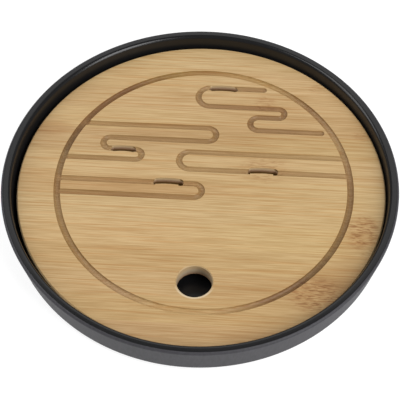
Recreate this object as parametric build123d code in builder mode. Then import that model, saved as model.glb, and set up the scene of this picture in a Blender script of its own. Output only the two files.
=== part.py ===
"""Round gongfu tea tray: a bamboo board with cloud channels, loose in a moulded black tray.

Millimetres, +Z up, +X along the bamboo's grain, the round lift hole towards -Y.
The origin is the centre of the circle that the four foot pads stand on.
"""

import math
import os

from build123d import *

# The round that everything else follows: the outer wall carried up to the top of the rim
rim_radius = 130.4

# Heights, each counted from the one below it
pad_stand = 2.0
floor_thickness = 2.5
water_depth = 6.5
board_thickness = 10.0
rim_above_board = 9.0

# Moulded tray: its wall leans outwards on both sides, so that it leaves the mould
rim_width = 6.6
outer_lean = 5.4
recess_lean = 1.8
rim_outer_round = 1.8
rim_inner_round = 2.6
base_round = 4.0
floor_round = 2.5

# Seat ribs in the corner between the wall and the floor
seat_rib_count = 12
seat_rib_thickness = 2.5
seat_rib_reach = 5.0
seat_rib_root = 1.2
seat_rib_round = 1.5

# Ring under the floor that stiffens it
foot_ring_inset = 17.0
foot_ring_width = 3.0
foot_ring_depth = 1.2
foot_ring_round = 0.5

# Anti-slip pads, inside the ring
pad_count = 4
pad_radius = 6.0
pad_inset = 11.0
pad_recess_depth = 1.0
pad_recess_clearance = 0.2
pad_edge_round = 0.6
first_pad_angle = 45.0

# Bamboo board: it lies with some play in the recess, pushed towards +X. The lift hole stays
# a gap away from the seam in front of it, counted from the board's front edge.
board_play = 0.6
board_shift = 0.8
board_edge_chamfer = 0.8
lift_hole_radius = 11.5
lift_hole_chamfer = 0.6
lift_hole_seam = 2
lift_hole_seam_gap = 1.4

# It is glued up from strips of one width. The shift is a share of that width, towards +Y.
strip_count = 13
strip_shift_share = -0.1

# Channels, cut by one round-nosed cutter. The ring channel's radius is a share of the board's.
cutter_radius = 2.2
ring_channel_share = 0.7975
ring_channel_depth = 2.2
ring_channel_shift_x = 1.5
ring_channel_shift_y = 1.5
cloud_channel_depth = 1.8

# The pattern, in shares of the ring channel's radius. A cloud is a line that runs along its
# rows and turns back at its turns: a row is a place across the grain and a turn is one along
# it, both from the board's centre. Each drain slot goes through the board and takes the place
# of a stretch of its channel, a little further back. Its shares are its place along the grain,
# its place across the grain and its length, and its middle rises towards the back.
drain_slot_width_share = 0.0486
drain_slot_rise_share = 0.0052
left_cloud_row_shares = (0.511, 0.393, 0.296, 0.208)
left_cloud_turn_shares = (0.019, -0.654, -0.473)
left_slot_shares = (-0.566, 0.298, 0.178)
low_cloud_row_shares = (0.024, -0.090)
low_cloud_turn_shares = (-0.052,)
low_slot_shares = (-0.235, 0.036, 0.207)
right_cloud_row_shares = (0.296, 0.148)
right_cloud_turn_shares = (-0.092,)
right_slot_shares = (0.407, 0.161, 0.207)
high_cloud_row_shares = (0.878, 0.709, 0.626, 0.511)
high_cloud_turn_shares = (0.019, 0.508, 0.370)
high_cloud_end_shares = (0.397, 0.811)
high_slot_shares = (0.102, 0.877, 0.207)

# Radii worked out from the sizes above
base_radius = rim_radius - outer_lean
recess_radius_at_rim = rim_radius - rim_width
recess_radius_at_floor = recess_radius_at_rim - recess_lean
foot_ring_radius = base_radius - foot_ring_inset
pad_circle_radius = foot_ring_radius - pad_inset
board_radius = recess_radius_at_floor - board_play
strip_width = 2 * board_radius / strip_count
ring_channel_radius = ring_channel_share * board_radius
drain_slot_width = drain_slot_width_share * ring_channel_radius
drain_slot_rise = drain_slot_rise_share * ring_channel_radius

# Levels worked out from the sizes above
base_level = pad_stand
floor_level = base_level + floor_thickness
seat_level = floor_level + water_depth
board_top_level = seat_level + board_thickness
rim_level = board_top_level + rim_above_board
ring_cutter_level = board_top_level - ring_channel_depth + cutter_radius
cloud_cutter_level = board_top_level - cloud_channel_depth + cutter_radius


def recess_radius_at(level):
    """Radius of the tray's inner wall at a height between the floor and the rim."""
    share = (level - floor_level) / (rim_level - floor_level)
    return recess_radius_at_floor + share * (recess_radius_at_rim - recess_radius_at_floor)


def board_plane(level):
    """Level plane with its origin on the board's own centre line."""
    return Plane(origin=(board_shift, 0, level))


def seam(number):
    """Place of the seam in front of a strip; the outer strips run to the board's edge."""
    if number == 0:
        return -board_radius
    if number == strip_count:
        return board_radius
    return (number - strip_count / 2 + strip_shift_share) * strip_width


def ring_x(row_share, side):
    """Where a row meets the middle of the ring channel, on the left (-1) or right (1) side."""
    rise = row_share * ring_channel_radius - ring_channel_shift_y
    return ring_channel_shift_x + side * math.sqrt(ring_channel_radius**2 - rise**2)


def cloud_line(row_shares, turn_shares, start_x, end_x):
    """The cutter's line: along each row, with a half circle at each turn into the next row."""
    rows = [share * ring_channel_radius for share in row_shares]
    turns = [share * ring_channel_radius for share in turn_shares]
    with BuildLine(board_plane(cloud_cutter_level)) as cutter_line:
        x = start_x
        for row, next_row, turn in zip(rows, rows[1:], turns):
            Line((x, row), (turn, row))
            outwards = 1 if turn > x else -1
            bend = (row - next_row) / 2
            ThreePointArc((turn, row), (turn + outwards * bend, row - bend), (turn, next_row))
            x = turn
        Line((x, rows[-1]), (end_x, rows[-1]))
    return cutter_line.line


os.makedirs("parts", exist_ok=True)

# One seat rib: an upright web in the corner between floor and wall, its inner top edge rounded
rib_inner_radius = recess_radius_at(seat_level) - seat_rib_reach
with BuildPart() as seat_rib:
    with BuildSketch(Plane.XZ) as rib_profile:
        with BuildLine():
            Polyline(
                (rib_inner_radius, floor_level - seat_rib_root),
                (rib_inner_radius, seat_level),
                (recess_radius_at(seat_level) + seat_rib_root, seat_level),
                (recess_radius_at_floor + seat_rib_root, floor_level - seat_rib_root),
                close=True,
            )
        make_face()
        rib_nose = rib_profile.vertices().group_by(Axis.Y)[-1].sort_by(Axis.X)[0]
        fillet(rib_nose, radius=seat_rib_round)
    extrude(amount=seat_rib_thickness / 2, both=True)

# Moulded tray: one turned shell with the seat ribs, a foot ring and pad recesses
with BuildPart() as tray_basin:
    with BuildSketch(Plane.XZ) as shell_profile:
        with BuildLine():
            Polyline(
                (0, base_level),
                (base_radius, base_level),
                (rim_radius, rim_level),
                (recess_radius_at_rim, rim_level),
                (recess_radius_at_floor, floor_level),
                (0, floor_level),
                close=True,
            )
        make_face()
        fillet(shell_profile.vertices().group_by(Axis.Y)[1].sort_by(Axis.X)[-1], radius=floor_round)
        fillet(shell_profile.vertices().group_by(Axis.Y)[0].sort_by(Axis.X)[-1], radius=base_round)
        fillet(shell_profile.vertices().group_by(Axis.Y)[-1].sort_by(Axis.X)[-1], radius=rim_outer_round)
        fillet(shell_profile.vertices().group_by(Axis.Y)[-1].sort_by(Axis.X)[0], radius=rim_inner_round)
    revolve(axis=Axis.Z)
    with PolarLocations(0, seat_rib_count):
        add(seat_rib.part)
    with BuildSketch(Plane.XZ) as foot_ring_profile:
        with Locations((foot_ring_radius, base_level)):
            Rectangle(foot_ring_width, foot_ring_depth, align=(Align.CENTER, Align.MAX))
        fillet(foot_ring_profile.vertices().group_by(Axis.Y)[0], radius=foot_ring_round)
    revolve(axis=Axis.Z)
    with BuildSketch(Plane.XY.offset(base_level)):
        with PolarLocations(pad_circle_radius, pad_count, start_angle=first_pad_angle):
            Circle(pad_radius + pad_recess_clearance)
    extrude(amount=pad_recess_depth, mode=Mode.SUBTRACT)
tray_basin.part.label = "tray_basin"
export_step(tray_basin.part, "parts/tray_basin.step")

# Anti-slip pads, one after the other round their circle
for number in range(pad_count):
    angle = math.radians(first_pad_angle + number * 360 / pad_count)
    pad_centre = (pad_circle_radius * math.cos(angle), pad_circle_radius * math.sin(angle))
    with BuildPart() as foot_pad:
        with BuildSketch():
            with Locations(pad_centre):
                Circle(pad_radius)
        extrude(amount=pad_stand + pad_recess_depth)
        fillet(foot_pad.edges().group_by(Axis.Z)[0], radius=pad_edge_round)
    foot_pad.part.label = f"foot_pad_{number + 1}"
    export_step(foot_pad.part, f"parts/foot_pad_{number + 1}.step")

# The four clouds: three run out into the ring channel, the high one ends short of it
left_cloud = cloud_line(
    left_cloud_row_shares,
    left_cloud_turn_shares,
    ring_x(left_cloud_row_shares[0], -1),
    ring_x(left_cloud_row_shares[-1], -1),
)
low_cloud = cloud_line(
    low_cloud_row_shares,
    low_cloud_turn_shares,
    ring_x(low_cloud_row_shares[0], -1),
    ring_x(low_cloud_row_shares[-1], -1),
)
right_cloud = cloud_line(
    right_cloud_row_shares,
    right_cloud_turn_shares,
    ring_x(right_cloud_row_shares[0], 1),
    ring_x(right_cloud_row_shares[-1], 1),
)
high_cloud = cloud_line(
    high_cloud_row_shares,
    high_cloud_turn_shares,
    high_cloud_end_shares[0] * ring_channel_radius,
    high_cloud_end_shares[1] * ring_channel_radius,
)

# Glued-up board: turned edge, lift hole, channels and drain slots, cut in one piece
with BuildPart() as board:
    with BuildSketch(board_plane(seat_level)):
        Circle(board_radius)
        with Locations((0, seam(lift_hole_seam) + lift_hole_seam_gap + lift_hole_radius)):
            Circle(lift_hole_radius, mode=Mode.SUBTRACT)
    extrude(amount=board_thickness)
    chamfer(
        board.edges().filter_by(GeomType.CIRCLE).group_by(SortBy.RADIUS)[-1],
        length=board_edge_chamfer,
    )
    chamfer(
        board.edges().filter_by(GeomType.CIRCLE).group_by(SortBy.RADIUS)[0],
        length=lift_hole_chamfer,
    )
    with Locations((board_shift + ring_channel_shift_x, ring_channel_shift_y, ring_cutter_level)):
        Torus(ring_channel_radius, cutter_radius, mode=Mode.SUBTRACT)
    for cloud in (left_cloud, low_cloud, right_cloud, high_cloud):
        with BuildSketch(Plane(origin=cloud @ 0, z_dir=cloud % 0)):
            Circle(cutter_radius)
        sweep(path=cloud, mode=Mode.SUBTRACT)
    with Locations(high_cloud @ 0, high_cloud @ 1):
        Sphere(cutter_radius, mode=Mode.SUBTRACT)
    for slot_shares in (left_slot_shares, low_slot_shares, right_slot_shares, high_slot_shares):
        slot_x, slot_y, slot_length = (share * ring_channel_radius for share in slot_shares)
        slot_reach = (slot_length - drain_slot_width) / 2
        with BuildSketch(board_plane(board_top_level)):
            with Locations((slot_x, slot_y)):
                Rectangle(2 * slot_reach, 2 * drain_slot_width)
        extrude(amount=-2 * cloud_channel_depth)
        with BuildSketch(board_plane(seat_level)):
            slot_line = ThreePointArc((-slot_reach, 0), (0, drain_slot_rise), (slot_reach, 0))
            with Locations((slot_x, slot_y - drain_slot_rise / 2)):
                SlotArc(slot_line, drain_slot_width)
        extrude(amount=board_thickness, mode=Mode.SUBTRACT)

# The strips that the board is glued up from, front to back
for number in range(strip_count):
    with BuildPart() as board_strip:
        add(board.part)
        with BuildSketch(board_plane(seat_level)):
            with Locations((0, (seam(number) + seam(number + 1)) / 2)):
                Rectangle(2 * board_radius, seam(number + 1) - seam(number))
        extrude(amount=board_thickness, mode=Mode.INTERSECT)
    board_strip.part.label = f"board_strip_{number + 1:02d}"
    export_step(board_strip.part, f"parts/board_strip_{number + 1:02d}.step")
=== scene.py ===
"""Round gongfu tea tray: the looks of a moulded black tray and its bamboo board.

Metres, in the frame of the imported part: +Z up, +X along the bamboo's grain, the round lift
hole towards -Y, and the origin under the middle of the tray at table level.
"""

import math

import bmesh
import bpy
import numpy as np
from bpy.props import FloatProperty, FloatVectorProperty, IntProperty, PointerProperty
from mathutils import Euler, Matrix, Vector


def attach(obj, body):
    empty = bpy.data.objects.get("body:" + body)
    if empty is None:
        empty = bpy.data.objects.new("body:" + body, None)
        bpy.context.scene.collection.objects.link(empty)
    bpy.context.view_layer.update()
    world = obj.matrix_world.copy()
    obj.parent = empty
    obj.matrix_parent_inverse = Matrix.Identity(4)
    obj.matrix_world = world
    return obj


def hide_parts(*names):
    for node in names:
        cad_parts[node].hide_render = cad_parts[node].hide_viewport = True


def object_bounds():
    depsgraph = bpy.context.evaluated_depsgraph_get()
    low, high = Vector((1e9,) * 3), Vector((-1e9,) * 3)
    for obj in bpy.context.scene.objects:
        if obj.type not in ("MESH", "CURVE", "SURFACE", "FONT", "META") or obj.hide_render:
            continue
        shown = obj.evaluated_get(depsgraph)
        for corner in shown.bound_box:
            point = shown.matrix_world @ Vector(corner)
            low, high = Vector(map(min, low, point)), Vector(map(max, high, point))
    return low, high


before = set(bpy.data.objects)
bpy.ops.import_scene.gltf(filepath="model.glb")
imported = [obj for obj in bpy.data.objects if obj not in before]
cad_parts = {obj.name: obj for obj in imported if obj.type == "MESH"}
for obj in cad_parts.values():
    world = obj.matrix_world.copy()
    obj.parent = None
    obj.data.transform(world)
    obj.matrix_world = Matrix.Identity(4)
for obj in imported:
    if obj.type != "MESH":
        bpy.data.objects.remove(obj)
CAD_LOW, CAD_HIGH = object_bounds()

bl_info = {
    "name": "Gongfu Tea Tray",
    "version": (1, 0, 0),
    "blender": (4, 5, 0),
    "location": "3D View > Sidebar > Tea Tray",
    "description": "Builds the moulded tray, its bamboo board and a plain stage",
    "category": "Object",
}

MM = 0.001

# A corner of an outline that is to look sharp still gets a tiny round
TINY_ROUND = 0.1 * MM

# Corners of a mesh that are nearer than this become one, and so do the ends of a shorter edge
MERGE_DISTANCE = 0.002 * MM
SHORTEST_EDGE = 0.0005 * MM

# Faces that meet at a larger angle than this keep a sharp edge between them
SHARP_ANGLE = math.radians(30)

WHITE = (1.0, 1.0, 1.0, 1.0)


# Colours


def linear(hex_colour):
    """Linear red, green, blue and alpha of an sRGB hex colour, by that standard's numbers."""
    shares = [int(hex_colour[i : i + 2], 16) / 255 for i in (1, 3, 5)]
    levels = [s / 12.92 if s <= 0.04045 else ((s + 0.055) / 1.055) ** 2.4 for s in shares]
    return (*levels, 1.0)


# Tone of each bamboo strip from front to back, at its left and at its right end
STRIP_TONES = (
    ("#AA8B61", "#B39568"),
    ("#AF9264", "#AF9163"),
    ("#B3966A", "#AB8D60"),
    ("#B09264", "#B29668"),
    ("#B99C6F", "#B79C6D"),
    ("#B89D71", "#B69B6E"),
    ("#B39568", "#B69B6E"),
    ("#B89C70", "#B5996D"),
    ("#B09368", "#B19567"),
    ("#B99D70", "#B09266"),
    ("#B6996D", "#B4966A"),
    ("#B99D70", "#B99C71"),
    ("#BAA074", "#B89C70"),
)

# Where along X a strip's tone goes over from its left one to its right one
TONE_CHANGE = (-40 * MM, 60 * MM)

# Layers of fibres: length and width in millimetres, and share of the whole
FIBRE_LAYERS = (
    (24.0, 0.8, 0.46),
    (7.0, 0.6, 0.10),
    (120.0, 0.8, 0.30),
    (60.0, 4.0, 0.14),
)

# Runs of warmer fibres and the short fibres in a knuckle: length and width in millimetres
WARM_RUN = (80.0, 1.5)
KNUCKLE_FIBRE = (5.0, 0.9)

# Noise at which dark fibres, warm runs, ripples and crests start, and at which they are full
DARK_RANGE = (0.58, 0.42)
WARM_RANGE = (0.52, 0.66)
RIPPLE_RANGE = (0.53, 0.62)
CREST_RANGE = (0.46, 0.36)

# Knuckles of the bamboo: middle and half size in millimetres, and strength
KNUCKLES = (
    (41.0, 73.0, 8.0, 8.0, 0.45),
    (42.0, 17.0, 17.0, 12.0, 0.40),
    (76.0, 88.0, 6.0, 5.0, 0.30),
    (107.0, -30.0, 12.0, 14.0, 0.85),
    (110.0, -46.0, 6.0, 6.0, 0.40),
    (77.0, -79.0, 18.0, 14.0, 0.75),
    (108.0, 50.0, 8.0, 7.0, 0.25),
)

# Stretches that are darker than the strip they lie in, given in the same way as the knuckles
DARK_STRETCHES = (
    (-40.0, -2.0, 62.0, 8.0, 0.55),
    (-108.0, 44.0, 22.0, 9.0, 0.60),
    (96.0, -66.0, 30.0, 13.0, 0.60),
    (98.0, -40.0, 12.0, 11.0, 0.40),
    (50.0, -112.0, 30.0, 9.0, 0.50),
    (0.0, 44.0, 90.0, 8.5, 0.30),
)

# The high cloud's channel is browner than the others, and some stretches of the lower ones are
# paler, given in the same way as the knuckles
HIGH_CLOUD = ((37.0, 67.0, 55.0, 24.0, 1.0),)
PALE_CHANNELS = (
    (-60.0, 4.6, 34.0, 5.0, 0.9),
    (45.0, 30.2, 60.0, 5.0, 0.7),
)

# Such an oval's colour starts and is full at these shares of its half size
OVAL_RANGE = (1.25, 0.45)

# Drain slots: middle and half length in millimetres, and the depth of the channels they lie in
SLOTS = (
    (-54.0, 28.9, 8.6),
    (-22.0, 3.5, 10.0),
    (40.2, 15.6, 10.0),
    (10.7, 84.9, 10.0),
)
SLOT_HALF_WIDTH = 2.35
CHANNEL_DEPTH = 1.8

# Tone of the slots' walls by depth below the board's top, in millimetres: paler near the top as
# painted light, and darker further down as painted shade
SLOT_LIGHT_AND_SHADE_TONES = (
    (0.8, "#C5AB80"),
    (2.2, "#BCA180"),
    (3.3, "#AC8A6E"),
    (4.3, "#96714D"),
    (5.5, "#7A5A2C"),
)

# Tone of the lift hole's wall and of the board's edge, in the same way: a greyer cut face, darker
# towards the underside as painted shade
EDGE_TONES_AND_SHADE = (
    (0.5, "#AE946C"),
    (3.0, "#AC9371"),
    (5.5, "#A39379"),
    (7.5, "#9B856C"),
    (9.8, "#8C6C4E"),
)

# The depth in millimetres that the colour ramps of the walls cover
RAMP_DEPTH = 10.0

# Tint of the ring channel by bearing from +X in degrees: a browner cut, lightened and darkened
# round the ring as painted light and shade
RING_LIGHT_AND_SHADE_TINTS = (
    (-180, "#D1C6BA"),
    (-150, "#D0C7B2"),
    (-120, "#DFD9DC"),
    (-102, "#FFFFFF"),
    (-84, "#FFFFFF"),
    (-72, "#E0D7C9"),
    (-60, "#BCAA95"),
    (-42, "#B3A896"),
    (-20, "#BFB3A2"),
    (5, "#CABCB0"),
    (28, "#E8E4E2"),
    (45, "#C4B7A8"),
    (68, "#E3DDC7"),
    (90, "#D8C9AE"),
    (105, "#CCBE8E"),
    (125, "#AC8E5F"),
    (150, "#B4A08B"),
    (165, "#B4AA9C"),
    (180, "#D1C6BA"),
)

# Soft lights: name, place, width and height in metres, and power in watts
SOFTBOXES = (
    ("right_hand", (0.78, -0.65, 0.81), 0.62, 1.3, 20.0),
    ("left_hand", (-0.94, 0.09, 0.90), 0.65, 1.3, 10.0),
    ("backdrop", (0.0, 1.19, 1.07), 1.2, 1.1, 5.0),
)


# Sizes and colours that a user would change


def length_setting(name, description, default):
    """A setting that is a length in metres."""
    return FloatProperty(name=name, description=description, default=default, unit="LENGTH")


def point_setting(name, description, point):
    """A setting that is a point seen from above, in metres."""
    return FloatVectorProperty(
        name=name, description=description, default=point, size=2, unit="LENGTH"
    )


def angle_setting(name, description, degrees):
    """A setting that is an angle, given in degrees."""
    angle = math.radians(degrees)
    return FloatProperty(name=name, description=description, default=angle, unit="ROTATION")


def colour_setting(name, description, hex_colour):
    """A setting that is a colour, given as sRGB hex."""
    return FloatVectorProperty(
        name=name, description=description, default=linear(hex_colour), size=4, subtype="COLOR"
    )


class TrayShellSettings(bpy.types.PropertyGroup):
    """Sizes and colours of the moulded tray, the sizes the same as in the part's source."""

    rim_radius: length_setting("Rim radius", "Outer wall's radius at the rim's top", 130.4 * MM)
    rim_width: length_setting("Rim width", "Width of the rim before rounding", 6.6 * MM)
    outer_lean: length_setting("Outer lean", "How far the outer wall leans outwards", 5.4 * MM)
    recess_lean: length_setting("Recess lean", "How far the inner wall leans outwards", 1.8 * MM)
    rim_level: length_setting("Rim level", "Height of the rim above the table", CAD_HIGH.z)
    floor_level: length_setting("Floor level", "Height of the floor above the table", 4.5 * MM)
    base_level: length_setting("Base level", "Height of the underside above the table", 2.0 * MM)
    rim_outer_round: length_setting("Outer round", "Radius of the rim's outer edge", 1.8 * MM)
    rim_inner_round: length_setting("Inner round", "Radius of the rim's inner edge", 2.6 * MM)
    base_round: length_setting("Base round", "Radius from outer wall to underside", 4.0 * MM)
    floor_round: length_setting("Floor round", "Radius from floor to inner wall", 2.5 * MM)
    foot_ring_radius: length_setting("Foot ring radius", "Middle radius of the foot ring", 108.0 * MM)
    foot_ring_width: length_setting("Foot ring width", "Width of the foot ring", 3.0 * MM)
    foot_ring_depth: length_setting("Foot ring depth", "How far the foot ring stands out", 1.2 * MM)
    foot_ring_round: length_setting("Foot ring round", "Radius of the foot ring's edges", 0.5 * MM)
    pad_recess_radius: length_setting("Pad recess radius", "Radius of a foot pad's recess", 6.2 * MM)
    pad_recess_depth: length_setting("Pad recess depth", "Depth of a foot pad's recess", 1.0 * MM)
    turn_segments: IntProperty(
        name="Segments", description="Faces once round the tray, a multiple of four", default=288, min=24
    )
    colour: colour_setting("Plastic", "Colour of the moulded tray", "#121213")
    # The grained skin's grey is partly its grain and partly a painted sheen
    skin_colour: colour_setting(
        "Grained skin", "Colour of the outer wall, greyed by its grain", "#343337"
    )
    skin_depth: length_setting(
        "Grained from", "Width of the rim's outer edge that has the outer wall's grain", 1.7 * MM
    )


class SeatRibSettings(bpy.types.PropertyGroup):
    """Sizes of the ribs that carry the board."""

    count: IntProperty(name="Count", description="Ribs once round the tray", default=12, min=3)
    thickness: length_setting("Thickness", "Thickness of one rib", 2.5 * MM)
    reach: length_setting("Reach", "How far a rib stands into the recess at its top", 5.0 * MM)
    seat_level: length_setting("Seat level", "Height of the ribs' tops above the table", 11.0 * MM)
    root: length_setting("Root", "How deep a rib runs into the wall and the floor", 1.2 * MM)
    nose_round: length_setting("Nose round", "Radius of a rib's inner top edge", 1.5 * MM)
    edge_softness: length_setting(
        "Edge softness", "Width of the bevel that the mould leaves along a rib's edges", 0.25 * MM
    )


class FootPadSettings(bpy.types.PropertyGroup):
    """Sizes and colour of the anti-slip pads."""

    count: IntProperty(name="Count", description="Pads under the tray", default=4, min=3)
    radius: length_setting("Radius", "Radius of one pad", 6.0 * MM)
    circle_radius: length_setting("Circle radius", "Radius of the circle of pads", 97.0 * MM)
    height: length_setting("Height", "Height of one pad, its seat in the recess included", 3.0 * MM)
    edge_round: length_setting("Edge round", "Radius of a pad's lower edge", 0.6 * MM)
    first_angle: angle_setting("First angle", "Where the first pad stands, from +X", 45)
    turn_segments: IntProperty(name="Segments", description="Faces once round a pad", default=64, min=12)
    colour: colour_setting("Rubber", "Colour of the pads", "#3A3A3B")


class BoardSettings(bpy.types.PropertyGroup):
    """Sizes and colours of the bamboo board. A tint is multiplied onto a strip's own tone."""

    strip_count: IntProperty(name="Strips", description="Strips in the board", default=13)
    strip_width: length_setting("Strip width", "Width of one bamboo strip", 242.8 * MM / 13)
    strip_shift_share: FloatProperty(
        name="Strip shift",
        description="Shift of the seams towards the back, as a share of a strip's width",
        default=-0.1,
    )
    top_level: length_setting("Top level", "Height of the board's top above the table", 21.0 * MM)
    ring_centre: point_setting("Ring centre", "Middle of the ring channel", (2.3 * MM, 1.5 * MM))
    ring_radius: length_setting("Ring radius", "Middle radius of the ring channel", 96.81 * MM)
    ring_half_width: length_setting("Ring half width", "Half the ring channel's width", 2.2 * MM)
    hole_centre: point_setting("Hole centre", "Middle of the lift hole", (0.8 * MM, -73.01 * MM))
    hole_radius: length_setting("Hole radius", "Radius of the lift hole", 11.5 * MM)
    fibre_colour: colour_setting("Fibres", "Tint of the dark fibres", "#E9E2D5")
    warm_colour: colour_setting("Warm runs", "Tint of the more orange runs of fibres", "#F6EADB")
    stretch_colour: colour_setting("Dark stretches", "Tint of the darker stretches", "#EADBCB")
    knuckle_colour: colour_setting("Knuckles", "Tint of the bamboo's knuckles", "#EDDFD0")
    ripple_colour: colour_setting("Ripples", "Tint of the dark waves in a knuckle", "#CCAF93")
    crest_colour: colour_setting("Crests", "Colour of the pale waves in a knuckle", "#C9AC7C")
    channel_colour: colour_setting("Cloud channels", "Tint of the cloud channels", "#D6CDBE")
    pale_channel_colour: colour_setting("Pale channels", "Tint of the paler cloud channels", "#E3DED5")
    high_cloud_colour: colour_setting(
        "High cloud", "Further tint of the high cloud's channel", "#EDE7E6"
    )
    # Painted shade: the slots' left ends are darkened
    slot_end_colour: colour_setting(
        "Slot ends", "Colour of the slots' left ends, where the cutter went in", "#8C6D49"
    )
    # A painted glint on the lift hole's front edge
    hole_rim_colour: colour_setting(
        "Hole rim", "Colour of the lift hole's front edge, rubbed pale by fingers", "#BEAB8C"
    )


class StageSettings(bpy.types.PropertyGroup):
    """Camera, floor and lights."""

    camera_distance: length_setting("Camera distance", "From the rim's middle to the camera", 0.9086)
    camera_elevation: angle_setting("Camera elevation", "Angle of the camera over the rim", 53.95)
    camera_azimuth: angle_setting("Camera azimuth", "Turn of the camera from the front", 3.4)
    camera_dip: angle_setting("Camera dip", "How far it looks below the rim's middle", 0.869)
    camera_lens: FloatProperty(name="Lens", description="Focal length in millimetres", default=125.04)
    sensor_width: FloatProperty(
        name="Sensor", description="Width of the camera's sensor in millimetres", default=36.0
    )
    floor_size: length_setting("Floor size", "Side of the floor", 8.0)
    floor_colour: colour_setting("Floor", "Colour of the floor", "#959595")
    floor_glow: FloatProperty(
        name="Floor glow", description="Strength of the light from below the floor", default=0.78
    )
    room_light: FloatProperty(
        name="Room light", description="Strength of the even light from all sides", default=0.28
    )


class TeaTraySettings(bpy.types.PropertyGroup):
    """All settings of the tea tray."""

    shell: PointerProperty(type=TrayShellSettings, name="Tray", description="The moulded tray")
    ribs: PointerProperty(type=SeatRibSettings, name="Ribs", description="The seat ribs")
    pads: PointerProperty(type=FootPadSettings, name="Pads", description="The foot pads")
    board: PointerProperty(type=BoardSettings, name="Board", description="The bamboo board")
    stage: PointerProperty(type=StageSettings, name="Stage", description="Camera, floor, lights")


# Shapes


def unit(vector):
    """A vector brought to length one."""
    return vector / np.linalg.norm(vector)


def rounded(corners, rounds, steps=10):
    """Line through the corners, with an arc of its own radius at each inner corner.

    With h half the angle at the corner, the arc touches both sides at radius / tan(h) from the
    corner and its centre lies at radius / sin(h) on the bisector. Between the two touching
    points, the arc is their spherical blend about the centre over the turn pi - 2h.
    """
    corners = np.array(corners, float)
    share = np.linspace(0, 1, steps)[:, None]
    line = [corners[:1]]
    for before, corner, after, radius in zip(corners, corners[1:], corners[2:], rounds):
        back, onward = unit(before - corner), unit(after - corner)
        half = math.acos(back @ onward) / 2
        centre = corner + unit(back + onward) * radius / math.sin(half)
        first = corner + back * radius / math.tan(half) - centre
        last = corner + onward * radius / math.tan(half) - centre
        turn = math.pi - 2 * half
        blend = first * np.sin((1 - share) * turn) + last * np.sin(share * turn)
        line.append(centre + blend / math.sin(turn))
    line.append(corners[-1:])
    return np.concatenate(line)


def turned(profile, segments, centre=(0.0, 0.0)):
    """Grid of points of a (radius, height) profile carried once round an upright axis.

    Point (i, j) is (r_i cos a_j, r_i sin a_j, h_i) from the centre, a_j = 2 pi j / segments.
    """
    angle = np.arange(segments) * (2 * np.pi / segments)
    radius, height = profile.T
    x = centre[0] + np.outer(radius, np.cos(angle))
    y = centre[1] + np.outer(radius, np.sin(angle))
    z = np.repeat(height[:, None], segments, axis=1)
    return np.stack([x, y, z], axis=-1)


def turned_by(points, angle):
    """The same points, turned round the Z axis."""
    cos, sin = math.cos(angle), math.sin(angle)
    x, y, z = np.moveaxis(points, -1, 0)
    return np.stack([x * cos - y * sin, x * sin + y * cos, z], axis=-1)


def mesh_of(name, grids):
    """One mesh from grids of points, each closed from its last column to its first.

    Four neighbours (i, j), (i+1, j), (i+1, j+1), (i, j+1) make a face. Points that coincide are
    merged, so a row that is all one point becomes a pole and touching grids grow together.
    """
    corners, faces, first = [], [], 0
    for grid in grids:
        rows, columns = grid.shape[:2]
        number = first + np.arange(rows * columns).reshape(rows, columns)
        beside = np.roll(number, -1, axis=1)
        quads = np.stack([number[:-1], number[1:], beside[1:], beside[:-1]], axis=-1)
        corners.append(grid.reshape(-1, 3))
        faces.append(quads.reshape(-1, 4))
        first += rows * columns
    mesh = bpy.data.meshes.new(name)
    mesh.from_pydata(np.concatenate(corners).tolist(), [], np.concatenate(faces).tolist())
    merge(mesh)
    return mesh


def merge(mesh):
    """Merges corners that coincide, and shades the curved faces smooth between sharp edges."""
    work = bmesh.new()
    work.from_mesh(mesh)
    bmesh.ops.remove_doubles(work, verts=work.verts, dist=MERGE_DISTANCE)
    bmesh.ops.dissolve_degenerate(work, edges=work.edges, dist=SHORTEST_EDGE)
    work.to_mesh(mesh)
    work.free()
    if "custom_normal" in mesh.attributes:
        mesh.attributes.remove(mesh.attributes["custom_normal"])
    mesh.shade_smooth()
    mesh.set_sharp_from_angle(angle=SHARP_ANGLE)


def add_object(name, data):
    """Adds an object to the scene."""
    added = bpy.data.objects.new(name, data)
    bpy.context.scene.collection.objects.link(added)
    return added


def place_piece(name, mesh, material, body, nodes):
    """Adds a finished piece that moves with a body and stands for some nodes of the part."""
    mesh.materials.clear()
    mesh.materials.append(material)
    piece = add_object(name, mesh)
    shading = piece.modifiers.new("even_shading", "WEIGHTED_NORMAL")
    shading.keep_sharp = True
    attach(piece, body)
    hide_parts(*nodes)
    return piece


# Materials

# Settings of a Mix node that goes from colour to colour, and of one that tints. In both, input
# 0 is the share, 6 the first colour and 7 the second.
COLOUR_MIX = {"data_type": "RGBA"}
TINT_MIX = {"data_type": "RGBA", "blend_type": "MULTIPLY"}


def add_node(tree, kind, links=None, **settings):
    """Adds a node: settings are its properties, links its inputs, by number or name.

    An input that is given a node is linked to that node's first output in use, one that is given
    an output is linked to that, and any other value is set on the input.
    """
    node = tree.nodes.new("ShaderNode" + kind)
    for name, value in settings.items():
        setattr(node, name, value)
    for key, value in (links or {}).items():
        if isinstance(value, bpy.types.Node):
            value = next(output for output in value.outputs if output.enabled)
        if isinstance(value, bpy.types.NodeSocket):
            tree.links.new(value, node.inputs[key])
        else:
            node.inputs[key].default_value = value
    return node


def new_material(name):
    """An empty node material, its tree, and the place of a point on the object."""
    material = bpy.data.materials.new(name)
    material.use_nodes = True
    tree = material.node_tree
    tree.nodes.clear()
    return material, tree, add_node(tree, "TexCoord").outputs["Object"]


def between(value, limits, most=1.0):
    """Links of a MapRange node that climbs from 0 between two limits, and is level outside."""
    return {"Value": value, "From Min": limits[0], "From Max": limits[1], "To Max": most}


def lightened(colour, times):
    """A colour that is so many times as light."""
    return (*[level * times for level in colour[:3]], 1.0)


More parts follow.
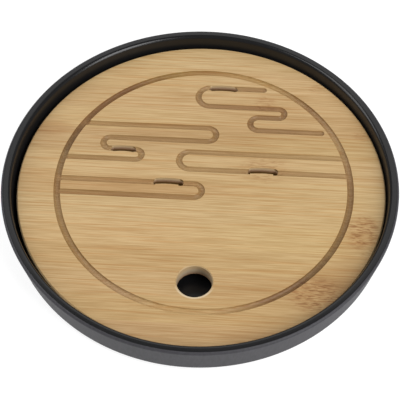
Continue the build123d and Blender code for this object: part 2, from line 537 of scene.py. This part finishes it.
def set_stops(ramp, stops):
    """Sets the stops of a colour ramp, given as (share, hex colour) pairs."""
    elements = ramp.color_ramp.elements
    while len(elements) < len(stops):
        elements.new(1.0)
    for element, (position, hex_colour) in zip(elements, stops):
        element.position = position
        element.color = linear(hex_colour)


def distance_from(tree, place, centre):
    """Distance of a point from an upright line through a centre."""
    offset = add_node(
        tree,
        "Mapping",
        {"Vector": place, "Location": (-centre[0], -centre[1], 0.0), "Scale": (1.0, 1.0, 0.0)},
    )
    return add_node(tree, "VectorMath", {0: offset}, operation="LENGTH")


def moulded_polypropylene(shell):
    """Injection-moulded black polypropylene.

    The rim's top comes from a polished mould and shows blurred but clear reflections of the
    lights, and the inside is duller. The outer wall comes from an eroded mould: its grain spreads
    the light to an even grey sheen.
    """
    inside_range = (shell.rim_level - 0.3 * MM, shell.rim_level - 1.3 * MM)
    cloud_size = 45 * MM
    polished_roughness = {"From Min": 0.3, "From Max": 0.7, "To Min": 0.14, "To Max": 0.19}
    inside_roughness = 0.28
    eroded_roughness = 0.6
    # The real grain is about 0.1 mm; it is drawn coarser, so that it shows at all
    drawn_grain = 0.5 * MM

    material, tree, place = new_material("moulded_polypropylene")
    level = add_node(tree, "SeparateXYZ", {0: place}).outputs["Z"]
    eroded = outer_wall(tree, place, level, shell)
    inside = add_node(tree, "MapRange", between(level, inside_range))
    cloudy = add_node(tree, "TexNoise", {"Vector": place, "Scale": 1 / cloud_size, "Detail": 3.0})

    polished = add_node(tree, "MapRange", {"Value": cloudy, **polished_roughness})
    duller = add_node(
        tree, "MapRange", {"Value": inside, "To Min": polished, "To Max": inside_roughness}
    )
    roughness = add_node(
        tree, "MapRange", {"Value": eroded, "To Min": duller, "To Max": eroded_roughness}
    )

    faded = lightened(shell.colour, 1.25)
    smooth = add_node(tree, "Mix", {0: cloudy, 6: shell.colour, 7: faded}, **COLOUR_MIX)
    # The skin's colour is lifted above the plastic's own, partly as painted sheen
    skin = drawn_skin(tree, place, shell.skin_colour)
    colour = add_node(tree, "Mix", {0: eroded, 6: smooth, 7: skin}, **COLOUR_MIX)

    grain = add_node(tree, "TexNoise", {"Vector": place, "Scale": 1 / drawn_grain, "Detail": 2.0})
    height = add_node(tree, "Math", {0: grain, 1: eroded}, operation="MULTIPLY")
    bump = add_node(tree, "Bump", {"Height": height, "Strength": 0.4, "Distance": 0.1 * MM})
    shader = add_node(
        tree,
        "BsdfPrincipled",
        {"Base Color": colour, "Roughness": roughness, "Normal": bump, "IOR": 1.37},
    )
    add_node(tree, "OutputMaterial", {"Surface": shader})
    return material


def outer_wall(tree, place, level, shell):
    """1 on the outer wall and the rim's outer edge: outside a cone that runs just inside them."""
    half_edge = 0.2 * MM
    lean = shell.outer_lean / (shell.rim_level - shell.base_level)
    cone_at_table = shell.rim_radius - shell.skin_depth - shell.rim_level * lean
    cone = add_node(tree, "Math", {0: level, 1: lean, 2: cone_at_table}, operation="MULTIPLY_ADD")
    radius = distance_from(tree, place, (0.0, 0.0))
    outside = add_node(tree, "Math", {0: radius, 1: cone}, operation="SUBTRACT")
    return add_node(tree, "MapRange", between(outside, (-half_edge, half_edge)))


def drawn_skin(tree, place, colour):
    """Colour of the grained skin, with faint upright marks from drawing the steel mould off."""
    mark_width = 1.5 * MM
    mark_height = 14 * MM
    mark_range = (0.35, 0.65)
    upright = add_node(
        tree, "Mapping", {"Vector": place, "Scale": (1 / mark_width, 1 / mark_width, 1 / mark_height)}
    )
    noise = add_node(tree, "TexNoise", {"Vector": upright, "Scale": 1.0})
    marks = add_node(tree, "MapRange", between(noise, mark_range))
    dark, pale = lightened(colour, 0.85), lightened(colour, 1.15)
    return add_node(tree, "Mix", {0: marks, 6: dark, 7: pale}, **COLOUR_MIX)


def silicone_rubber(colour):
    """Pressed silicone rubber: dull, with a faint cloudiness and a fine dry grain."""
    grain_size = 0.4 * MM
    cloud_size = 4 * MM
    material, tree, place = new_material("silicone_rubber")
    grain = add_node(tree, "TexNoise", {"Vector": place, "Scale": 1 / grain_size, "Detail": 3.0})
    cloudy = add_node(tree, "TexNoise", {"Vector": place, "Scale": 1 / cloud_size})
    dust = lightened(colour, 1.6)
    dusty = add_node(tree, "Mix", {0: cloudy, 6: colour, 7: dust}, **COLOUR_MIX)
    bump = add_node(tree, "Bump", {"Height": grain, "Strength": 0.25, "Distance": 0.1 * MM})
    shader = add_node(
        tree, "BsdfPrincipled", {"Base Color": dusty, "Roughness": 0.75, "Normal": bump, "IOR": 1.41}
    )
    add_node(tree, "OutputMaterial", {"Surface": shader})
    return material


def strip_under(tree, axes, board):
    """The strip that a point lies in, counted from the front, and its share of the board."""
    strips_in_front = board.strip_count / 2 - board.strip_shift_share
    across = add_node(
        tree,
        "Math",
        {0: axes.outputs["Y"], 1: 1 / board.strip_width, 2: strips_in_front},
        operation="MULTIPLY_ADD",
    )
    number = add_node(tree, "Math", {0: across}, operation="FLOOR")
    share = add_node(tree, "Math", {0: across, 1: board.strip_count}, operation="DIVIDE")
    return number, share


def strip_tones(tree, axes, share):
    """Each strip's own tone, from its left to its right end."""
    ends = []
    for side in range(2):
        ramp = add_node(tree, "ValToRGB", {0: share})
        ramp.color_ramp.interpolation = "CONSTANT"
        stops = [(k / len(STRIP_TONES), tones[side]) for k, tones in enumerate(STRIP_TONES)]
        set_stops(ramp, stops)
        ends.append(ramp)
    along = add_node(
        tree, "MapRange", between(axes.outputs["X"], TONE_CHANGE), interpolation_type="SMOOTHSTEP"
    )
    return add_node(tree, "Mix", {0: along, 6: ends[0], 7: ends[1]}, **COLOUR_MIX)


def streaks(tree, place, length, width, waviness=0.0):
    """Streaks along the grain, of a length and width in millimetres."""
    stretch = (1 / (length * MM), 1 / (width * MM), 1 / (width * MM))
    stretched = add_node(tree, "VectorMath", {0: place, 1: stretch}, operation="MULTIPLY")
    return add_node(
        tree, "TexNoise", {"Vector": stretched, "Scale": 1.0, "Detail": 1.0, "Distortion": waviness}
    )


def bamboo_fibres(tree, place, strip):
    """Height of the fibres: fine runs of several lengths and a broader band, own to each strip."""
    chance = add_node(tree, "TexWhiteNoise", {"W": strip}, noise_dimensions="1D")
    own_place = add_node(tree, "VectorMath", {0: chance.outputs["Color"], 1: place}, operation="ADD")
    total = 0.0
    for length, width, share in FIBRE_LAYERS:
        run = streaks(tree, own_place, length, width)
        total = add_node(tree, "Math", {0: run, 1: share, 2: total}, operation="MULTIPLY_ADD")
    return total


def oval_patches(tree, place, patches):
    """How far a point lies within any of some soft ovals: their largest strength there."""
    most = 0.0
    for x, y, half_length, half_width, strength in patches:
        oval = add_node(
            tree,
            "Mapping",
            {
                "Vector": place,
                "Location": (-x / half_length, -y / half_width, 0.0),
                "Scale": (1 / (half_length * MM), 1 / (half_width * MM), 0.0),
            },
        )
        reach = add_node(tree, "VectorMath", {0: oval}, operation="LENGTH")
        patch = add_node(
            tree, "MapRange", between(reach, OVAL_RANGE, strength), interpolation_type="SMOOTHSTEP"
        )
        most = add_node(tree, "Math", {0: most, 1: patch}, operation="MAXIMUM")
    return most


def tinted(tree, colour, tints):
    """A colour with tints multiplied onto it, each as far as its share says."""
    for share, tint in tints:
        colour = add_node(tree, "Mix", {0: share, 6: colour, 7: tint}, **TINT_MIX)
    return colour


def knuckles(tree, colour, place, board):
    """Reddish stains, rippled by short wavy fibres that are dark and pale in turn."""
    crest_strength = 0.35
    knuckle = oval_patches(tree, place, KNUCKLES)
    fibre = streaks(tree, place, *KNUCKLE_FIBRE, waviness=0.6)
    ripple = add_node(tree, "MapRange", between(fibre, RIPPLE_RANGE))
    ripple = add_node(tree, "Math", {0: knuckle, 1: ripple}, operation="MULTIPLY")
    colour = tinted(tree, colour, ((knuckle, board.knuckle_colour), (ripple, board.ripple_colour)))
    crest = add_node(tree, "MapRange", between(fibre, CREST_RANGE, crest_strength))
    crest = add_node(tree, "Math", {0: knuckle, 1: crest}, operation="MULTIPLY")
    return add_node(tree, "Mix", {0: crest, 6: colour, 7: board.crest_colour}, **COLOUR_MIX)


def by_depth(tree, depth, tones):
    """Colour of a wall by its depth in millimetres."""
    share = add_node(tree, "Math", {0: depth, 1: 1 / RAMP_DEPTH}, operation="MULTIPLY")
    ramp = add_node(tree, "ValToRGB", {0: share})
    set_stops(ramp, [(millimetres / RAMP_DEPTH, colour) for millimetres, colour in tones])
    return ramp


def near_slots(tree, place, depth):
    """1 on the walls of the drain slots, and 1 on the left ends of those walls.

    A wall lies half a slot's width from the slot's straight middle line. At a slot's round ends
    it starts at the floor of the channel, and elsewhere at the top.
    """
    # Each of these is in millimetres
    wall_range = (SLOT_HALF_WIDTH + 0.9, SLOT_HALF_WIDTH + 0.6)
    in_channel_range = (CHANNEL_DEPTH + 0.3, CHANNEL_DEPTH - 0.1)
    round_end_range = (0.4, 1.2)
    left_end_range = (0.6, 1.8)
    left_half_range = (1.0, -1.0)

    in_channel = add_node(tree, "MapRange", between(depth, in_channel_range))
    most_near = 0.0
    most_left = 0.0
    for x, y, half_length in SLOTS:
        offset = add_node(
            tree, "Mapping", {"Vector": place, "Location": (-x, -y, 0.0), "Scale": (1 / MM, 1 / MM, 0.0)}
        )
        aside = add_node(tree, "VectorMath", {0: offset}, operation="ABSOLUTE")
        straight = (half_length - SLOT_HALF_WIDTH, 0.0, 0.0)
        beyond = add_node(tree, "VectorMath", {0: aside, 1: straight}, operation="SUBTRACT")
        off_line = add_node(tree, "VectorMath", {0: beyond, 1: (0.0, 0.0, 0.0)}, operation="MAXIMUM")
        reach = add_node(tree, "VectorMath", {0: off_line}, operation="LENGTH")
        near = add_node(tree, "MapRange", between(reach, wall_range))

        along = add_node(tree, "SeparateXYZ", {0: off_line}).outputs["X"]
        above = add_node(tree, "MapRange", between(along, round_end_range, in_channel))
        near = add_node(tree, "Math", {0: near, 1: above}, operation="SUBTRACT", use_clamp=True)

        from_middle = add_node(tree, "SeparateXYZ", {0: offset}).outputs["X"]
        left = add_node(tree, "MapRange", between(from_middle, left_half_range))
        left = add_node(tree, "MapRange", between(along, left_end_range, left))
        left = add_node(tree, "Math", {0: near, 1: left}, operation="MULTIPLY")
        most_near = add_node(tree, "Math", {0: most_near, 1: near}, operation="MAXIMUM")
        most_left = add_node(tree, "Math", {0: most_left, 1: left}, operation="MAXIMUM")
    return most_near, most_left


def ring_light_and_shade_tint(tree, place, board):
    """Browner tone and painted light and shade of the ring channel by bearing: a soft ramp round the
    ring's middle.
    """
    centre = (*board.ring_centre, 0.0)
    centred = add_node(tree, "VectorMath", {0: place, 1: centre}, operation="SUBTRACT")
    sides = add_node(tree, "SeparateXYZ", {0: centred})
    bearing = add_node(tree, "Math", {0: sides.outputs["Y"], 1: sides.outputs["X"]}, operation="ARCTAN2")
    share = add_node(tree, "MapRange", between(bearing, (-math.pi, math.pi)))
    ramp = add_node(tree, "ValToRGB", {0: share})
    set_stops(ramp, [((degrees + 180) / 360, colour) for degrees, colour in RING_LIGHT_AND_SHADE_TINTS])
    return ramp


def channel_tint(tree, place, board):
    """Tint of the channels: the ring's by its bearing, with painted light and shade, the clouds' by
    their place.
    """
    ring_range = (board.ring_half_width + 0.4 * MM, board.ring_half_width)
    usual, pale = board.channel_colour, board.pale_channel_colour
    in_pale = oval_patches(tree, place, PALE_CHANNELS)
    clouds = add_node(tree, "Mix", {0: in_pale, 6: usual, 7: pale}, **COLOUR_MIX)
    in_high = oval_patches(tree, place, HIGH_CLOUD)
    clouds = tinted(tree, clouds, ((in_high, board.high_cloud_colour),))

    radius = distance_from(tree, place, board.ring_centre)
    off_ring = add_node(tree, "Math", {0: radius, 1: board.ring_radius}, operation="SUBTRACT")
    off_ring = add_node(tree, "Math", {0: off_ring}, operation="ABSOLUTE")
    in_ring = add_node(tree, "MapRange", between(off_ring, ring_range))
    # Painted light and shade round the ring channel, with its browner tone
    ring = ring_light_and_shade_tint(tree, place, board)
    return add_node(tree, "Mix", {0: in_ring, 6: clouds, 7: ring}, **COLOUR_MIX)


def cut_faces(tree, colour, place, axes, board):
    """Colour of the faces below the top, over the colour of the top above them.

    Channels are a little browner than the sanded top; the ring channel also has painted light and
    shade by its bearing. The walls of the slots, the lift hole and the board's edge are end grain in
    part: paler and greyer. Their darkening towards the underside is painted shade, the slots' upper
    walls are paler as painted light, and the lift hole's front edge has a painted glint.
    """
    # Depths are in millimetres
    below_top_range = (0.05, 0.4)
    depth = add_node(
        tree,
        "Math",
        {0: axes.outputs["Z"], 1: -1 / MM, 2: board.top_level / MM},
        operation="MULTIPLY_ADD",
    )
    below_top = add_node(tree, "MapRange", between(depth, below_top_range))
    tint = channel_tint(tree, place, board)
    colour = add_node(tree, "Mix", {0: below_top, 6: colour, 7: tint}, **TINT_MIX)
    colour = board_edges(tree, colour, place, depth, below_top, board)
    colour = hole_rim_glint(tree, colour, place, axes, depth, board)

    slot, slot_end_shade = near_slots(tree, place, depth)
    slot = add_node(tree, "Math", {0: slot, 1: below_top}, operation="MULTIPLY")
    # Painted light and shade on the slots' walls, by their depth
    walls = by_depth(tree, depth, SLOT_LIGHT_AND_SHADE_TONES)
    # Painted shade on the slots' left ends
    walls = add_node(tree, "Mix", {0: slot_end_shade, 6: walls, 7: board.slot_end_colour}, **COLOUR_MIX)
    return add_node(tree, "Mix", {0: slot, 6: colour, 7: walls}, **COLOUR_MIX)


def board_edges(tree, colour, place, depth, below_top, board):
    """Board's outer edge and lift hole's wall, darker at depth as painted shade, over the colour so far.
    """
    outside_range = (board.ring_radius + 15 * MM, board.ring_radius + 17 * MM)
    hole_range = (board.hole_radius + 2 * MM, board.hole_radius + 1 * MM)
    from_ring = distance_from(tree, place, board.ring_centre)
    outside = add_node(tree, "MapRange", between(from_ring, outside_range))
    from_hole = distance_from(tree, place, board.hole_centre)
    near_hole = add_node(tree, "MapRange", between(from_hole, hole_range))
    edge = add_node(tree, "Math", {0: outside, 1: near_hole}, operation="MAXIMUM")
    edge = add_node(tree, "Math", {0: edge, 1: below_top}, operation="MULTIPLY")
    # Painted shade: the walls darken towards the underside
    tones = by_depth(tree, depth, EDGE_TONES_AND_SHADE)
    return add_node(tree, "Mix", {0: edge, 6: colour, 7: tones}, **COLOUR_MIX)


def hole_rim_glint(tree, colour, place, axes, depth, board):
    """A painted glint on the lift hole's front edge, over the colour so far."""
    hole_y = board.hole_centre[1]
    front_range = (hole_y - 3 * MM, hole_y - 9 * MM)
    glint_range = (board.hole_radius + 1.9 * MM, board.hole_radius + 1.1 * MM)
    # In millimetres, as the depth is
    shallow_range = (0.8, 0.5)
    from_hole = distance_from(tree, place, board.hole_centre)
    # Painted glint along the hole's front edge
    rim = add_node(tree, "MapRange", between(from_hole, glint_range))
    rim = add_node(tree, "MapRange", between(axes.outputs["Y"], front_range, rim))
    rim = add_node(tree, "MapRange", between(depth, shallow_range, rim))
    return add_node(tree, "Mix", {0: rim, 6: colour, 7: board.hole_rim_colour}, **COLOUR_MIX)


def laminated_bamboo(board):
    """Natural bamboo, glued up from flat strips, sanded and lightly oiled.

    Each strip has its own tone and its own fibres: soft dark runs under 1 mm wide, most of them
    about 24 or 120 mm long. Between them lie runs of a more orange tone, 1.5 mm wide. Knuckles
    are reddish patches of short wavy fibres. The faces that the cutter left are browner than the
    sanded top.
    """
    dull_to_glossy = {"From Min": 0.34, "From Max": 0.66, "To Min": 0.6, "To Max": 0.5}
    material, tree, place = new_material("laminated_bamboo")
    axes = add_node(tree, "SeparateXYZ", {0: place})
    strip, share = strip_under(tree, axes, board)
    fibres = bamboo_fibres(tree, place, strip)

    dark = add_node(tree, "MapRange", between(fibres, DARK_RANGE))
    warm_runs = streaks(tree, place, *WARM_RUN)
    warm = add_node(tree, "MapRange", between(warm_runs, WARM_RANGE))
    tints = (
        (dark, board.fibre_colour),
        (warm, board.warm_colour),
        (oval_patches(tree, place, DARK_STRETCHES), board.stretch_colour),
    )
    colour = tinted(tree, strip_tones(tree, axes, share), tints)
    colour = knuckles(tree, colour, place, board)
    # The cut faces carry painted light and shade besides their browner tone
    colour = cut_faces(tree, colour, place, axes, board)

    gloss = add_node(tree, "MapRange", {"Value": fibres, **dull_to_glossy})
    bump = add_node(tree, "Bump", {"Height": fibres, "Strength": 0.25, "Distance": 0.06 * MM})
    shader = add_node(
        tree, "BsdfPrincipled", {"Base Color": colour, "Roughness": gloss, "Normal": bump, "IOR": 1.45}
    )
    add_node(tree, "OutputMaterial", {"Surface": shader})
    return material


def opal_acrylic(colour, glow):
    """Opal acrylic of a product table, lit from below: matt and even.

    Much of the light that falls on it goes through, and the light from below makes it white
    again, so the tray throws hardly any shadow on it.
    """
    cloud_size = 300 * MM
    material, tree, place = new_material("opal_acrylic")
    cloudy = add_node(tree, "TexNoise", {"Vector": place, "Scale": 1 / cloud_size})
    cloud = lightened(colour, 0.99)
    uneven = add_node(tree, "Mix", {0: cloudy, 6: colour, 7: cloud}, **COLOUR_MIX)
    shader = add_node(
        tree,
        "BsdfPrincipled",
        {
            "Base Color": uneven,
            "Roughness": 0.9,
            "IOR": 1.49,
            "Emission Color": WHITE,
            "Emission Strength": glow,
        },
    )
    add_node(tree, "OutputMaterial", {"Surface": shader})
    return material


# Operators, one for each piece or group of like pieces


class TEATRAY_OT_tray_shell(bpy.types.Operator):
    """Builds the moulded tray with its foot ring and pad recesses"""

    bl_idname = "teatray.tray_shell"
    bl_label = "Tray Shell"

    def execute(self, context):
        shell = context.scene.tea_tray.shell
        pads = context.scene.tea_tray.pads
        base_radius = shell.rim_radius - shell.outer_lean
        recess_at_rim = shell.rim_radius - shell.rim_width
        ring_outside = shell.foot_ring_radius + shell.foot_ring_width / 2
        ring_inside = shell.foot_ring_radius - shell.foot_ring_width / 2
        ring_level = shell.base_level - shell.foot_ring_depth
        profile = rounded(
            (
                (0, shell.floor_level),
                (recess_at_rim - shell.recess_lean, shell.floor_level),
                (recess_at_rim, shell.rim_level),
                (shell.rim_radius, shell.rim_level),
                (base_radius, shell.base_level),
                (ring_outside, shell.base_level),
                (ring_outside, ring_level),
                (ring_inside, ring_level),
                (ring_inside, shell.base_level),
            ),
            (
                shell.floor_round,
                shell.rim_inner_round,
                shell.rim_outer_round,
                shell.base_round,
                TINY_ROUND,
                shell.foot_ring_round,
                shell.foot_ring_round,
            ),
        )
        under = self.underside_quarter(shell, pads, ring_inside)
        quarters = [turned_by(under, quarter * math.pi / 2) for quarter in range(4)]
        mesh = mesh_of("tray_shell", [turned(profile, shell.turn_segments), *quarters])
        plastic = moulded_polypropylene(shell)
        place_piece("tray_shell", mesh, plastic, "tray", ["tray_basin"])
        return {"FINISHED"}

    def underside_quarter(self, shell, pads, radius, side_steps=25):
        """Grid of a quarter of the underside inside the foot ring, with one pad recess.

        The columns follow the quarter's outline: along the ring at the turned shell's own
        angles, then in to the middle and out again. The rows run from the recess's middle to
        its edge, down its wall, and straight out to the outline.
        """
        angle = np.linspace(0, np.pi / 2, shell.turn_segments // 4 + 1)
        ring = radius * np.stack([np.cos(angle), np.sin(angle)], axis=-1)
        inwards = np.linspace(radius, 0, side_steps)[1:]
        down = np.stack([np.zeros_like(inwards), inwards], axis=-1)
        outline = np.concatenate([ring, down, down[-2::-1, ::-1]])[::-1]
        direction = np.array([math.cos(pads.first_angle), math.sin(pads.first_angle)])
        centre = pads.circle_radius * direction
        away = outline - centre
        edge = centre + shell.pad_recess_radius * away / np.linalg.norm(away, axis=1)[:, None]
        middle = np.broadcast_to(centre, edge.shape)
        flat = np.stack([middle, edge, edge, outline])
        top = shell.base_level + shell.pad_recess_depth
        heights = np.array([top, top, shell.base_level, shell.base_level])
        levels = np.broadcast_to(heights[:, None, None], (*flat.shape[:2], 1))
        return np.concatenate([flat, levels], axis=-1)


class TEATRAY_OT_seat_ribs(bpy.types.Operator):
    """Builds the ribs that carry the board"""

    bl_idname = "teatray.seat_ribs"
    bl_label = "Seat Ribs"

    def execute(self, context):
        shell = context.scene.tea_tray.shell
        ribs = context.scene.tea_tray.ribs
        at_rim = shell.rim_radius - shell.rim_width
        at_floor = at_rim - shell.recess_lean
        rise = (ribs.seat_level - shell.floor_level) / (shell.rim_level - shell.floor_level)
        at_seat = at_floor + rise * shell.recess_lean
        foot = shell.floor_level - ribs.root
        nose = at_seat - ribs.reach
        outline = rounded(
            (
                (nose, foot),
                (nose, ribs.seat_level),
                (at_seat + ribs.root, ribs.seat_level),
                (at_floor + ribs.root, foot),
            ),
            (ribs.nose_round, TINY_ROUND),
        )
        grid = self.rib(outline, ribs.thickness, ribs.edge_softness)
        grids = [turned_by(grid, k * 2 * math.pi / ribs.count) for k in range(ribs.count)]
        mesh = mesh_of("seat_ribs", grids)
        plastic = bpy.data.materials["moulded_polypropylene"]
        place_piece("seat_ribs", mesh, plastic, "tray", [])
        return {"FINISHED"}

    def rib(self, outline, thickness, softness):
        """Grid of one upright rib on the +X axis.

        The outline in (radius, height) is carried across the thickness: from its middle on one
        side to a slightly smaller outline, the full outline twice, and back to a middle.
        """
        middle = outline.mean(axis=0)
        away = outline - middle
        smaller = outline - softness * away / np.linalg.norm(away, axis=1)[:, None]
        point = np.broadcast_to(middle, outline.shape)
        rows = np.stack([point, smaller, outline, outline, smaller, point])
        half = thickness / 2
        sides = np.array([half, half, half - softness, softness - half, -half, -half])
        across = np.broadcast_to(sides[:, None], rows.shape[:2])
        return np.stack([rows[..., 0], across, rows[..., 1]], axis=-1)


class TEATRAY_OT_foot_pads(bpy.types.Operator):
    """Builds the anti-slip pads"""

    bl_idname = "teatray.foot_pads"
    bl_label = "Foot Pads"

    def execute(self, context):
        pads = context.scene.tea_tray.pads
        rubber = silicone_rubber(pads.colour)
        profile = rounded(
            ((0, pads.height), (pads.radius, pads.height), (pads.radius, 0), (0, 0)),
            (TINY_ROUND, pads.edge_round),
        )
        for number in range(pads.count):
            angle = pads.first_angle + number * 2 * math.pi / pads.count
            centre = (pads.circle_radius * math.cos(angle), pads.circle_radius * math.sin(angle))
            name = f"rubber_pad_{number + 1}"
            grid = turned(profile, pads.turn_segments, centre)
            node = f"foot_pad_{number + 1}"
            place_piece(name, mesh_of(name, [grid]), rubber, "tray", [node])
        return {"FINISHED"}


class TEATRAY_OT_bamboo_board(bpy.types.Operator):
    """Dresses the board's strips in bamboo"""

    bl_idname = "teatray.bamboo_board"
    bl_label = "Bamboo Board"

    def execute(self, context):
        board = context.scene.tea_tray.board
        bamboo = laminated_bamboo(board)
        for number in range(board.strip_count):
            node = f"board_strip_{number + 1:02d}"
            name = f"bamboo_strip_{number + 1:02d}"
            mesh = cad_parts[node].data.copy()
            mesh.name = name
            merge(mesh)
            place_piece(name, mesh, bamboo, "board", [node])
        return {"FINISHED"}


class TEATRAY_OT_stage(bpy.types.Operator):
    """Builds the floor, the lights and the camera"""

    bl_idname = "teatray.stage"
    bl_label = "Stage"

    def execute(self, context):
        stage = context.scene.tea_tray.stage
        self.add_floor(stage)
        self.add_camera(context, stage)
        self.add_room_light(context, stage)
        for name, place, width, height, power in SOFTBOXES:
            self.add_softbox(name, place, width, height, power)
        context.scene.view_settings.view_transform = "Standard"
        return {"FINISHED"}

    def add_floor(self, stage):
        """A plain floor under the tray."""
        half = stage.floor_size / 2
        mesh = bpy.data.meshes.new("floor")
        mesh.from_pydata(
            [(-half, -half, 0), (half, -half, 0), (half, half, 0), (-half, half, 0)],
            [],
            [(0, 1, 2, 3)],
        )
        mesh.materials.append(opal_acrylic(stage.floor_colour, stage.floor_glow))
        add_object("floor", mesh)

    def add_camera(self, context, stage):
        """The camera stands on the photograph's line of sight and looks just below the rim."""
        data = bpy.data.cameras.new("camera")
        data.sensor_width = stage.sensor_width
        data.lens = stage.camera_lens
        camera = add_object("camera", data)
        rim_level = context.scene.tea_tray.shell.rim_level
        level_reach = stage.camera_distance * math.cos(stage.camera_elevation)
        camera.location = (
            level_reach * math.sin(stage.camera_azimuth),
            -level_reach * math.cos(stage.camera_azimuth),
            rim_level + stage.camera_distance * math.sin(stage.camera_elevation),
        )
        tilt = math.pi / 2 - stage.camera_elevation - stage.camera_dip
        camera.rotation_euler = Euler((tilt, 0.0, stage.camera_azimuth))
        context.scene.camera = camera

    def add_room_light(self, context, stage):
        """Even light from a pale room."""
        world = bpy.data.worlds.new("pale_room")
        world.use_nodes = True
        room = world.node_tree.nodes["Background"]
        room.inputs["Color"].default_value = WHITE
        room.inputs["Strength"].default_value = stage.room_light
        context.scene.world = world

    def add_softbox(self, name, place, width, height, power):
        """An upright soft light that faces the tray."""
        data = bpy.data.lights.new(name, "AREA")
        data.shape = "RECTANGLE"
        data.size = width
        data.size_y = height
        data.energy = power
        light = add_object(name, data)
        light.location = place
        light.rotation_euler = Vector(place).to_track_quat("Z", "Y").to_euler()


class TEATRAY_PT_sidebar(bpy.types.Panel):
    """Lists the pieces of the tea tray and their settings"""

    bl_label = "Tea Tray"
    bl_idname = "TEATRAY_PT_sidebar"
    bl_space_type = "VIEW_3D"
    bl_region_type = "UI"
    bl_category = "Tea Tray"

    def draw(self, context):
        layout = self.layout
        for operator in OPERATORS:
            layout.operator(operator.bl_idname)
        settings = context.scene.tea_tray
        for group_name in TeaTraySettings.__annotations__:
            group = getattr(settings, group_name)
            box = layout.box()
            box.label(text=settings.bl_rna.properties[group_name].name)
            for key in group.__annotations__:
                box.prop(group, key)


OPERATORS = (
    TEATRAY_OT_tray_shell,
    TEATRAY_OT_seat_ribs,
    TEATRAY_OT_foot_pads,
    TEATRAY_OT_bamboo_board,
    TEATRAY_OT_stage,
)
SETTINGS = (
    TrayShellSettings,
    SeatRibSettings,
    FootPadSettings,
    BoardSettings,
    StageSettings,
    TeaTraySettings,
)


def register():
    """Registers the settings, operators and panel."""
    for kind in (*SETTINGS, *OPERATORS, TEATRAY_PT_sidebar):
        bpy.utils.register_class(kind)
    bpy.types.Scene.tea_tray = PointerProperty(type=TeaTraySettings)


def unregister():
    """Takes the settings, operators and panel out again."""
    del bpy.types.Scene.tea_tray
    for kind in reversed((*SETTINGS, *OPERATORS, TEATRAY_PT_sidebar)):
        bpy.utils.unregister_class(kind)


def main():
    """Builds all pieces and the stage."""
    register()
    bpy.ops.teatray.tray_shell()
    bpy.ops.teatray.seat_ribs()
    bpy.ops.teatray.foot_pads()
    bpy.ops.teatray.bamboo_board()
    bpy.ops.teatray.stage()


if __name__ == "__main__":
    main()
